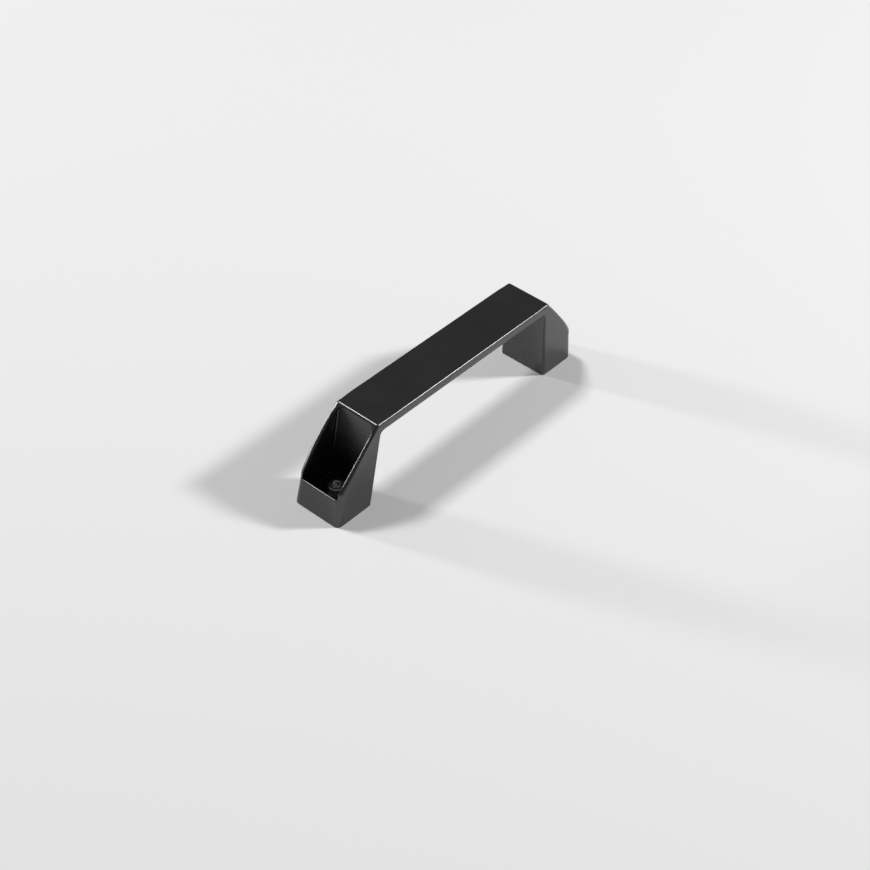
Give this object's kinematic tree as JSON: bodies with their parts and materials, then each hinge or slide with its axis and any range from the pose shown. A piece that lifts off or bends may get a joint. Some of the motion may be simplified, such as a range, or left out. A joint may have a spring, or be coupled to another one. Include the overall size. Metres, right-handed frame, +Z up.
{
  "type": "profile handle",
  "caption": "Black bridge handle with a flat bar and spreading hollow feet, each with an open pocket for the screw that fixes it to a slotted profile.",
  "frame": {"origin": "middle between the two screws, on the plane of the feet", "axes": "+X along the bar, from the near foot to the far foot; +Y across the bar; +Z up from the feet to the bar's top face"},
  "size_m": [0.212, 0.0324, 0.0685],
  "materials": {
    "body": "satin black powder coat",
    "screw": "dark oiled steel"
  },
  "bodies": {
    "root": {"handle_body": "body", "screw_near": "screw", "screw_far": "screw"}
  },
  "joints": []
}
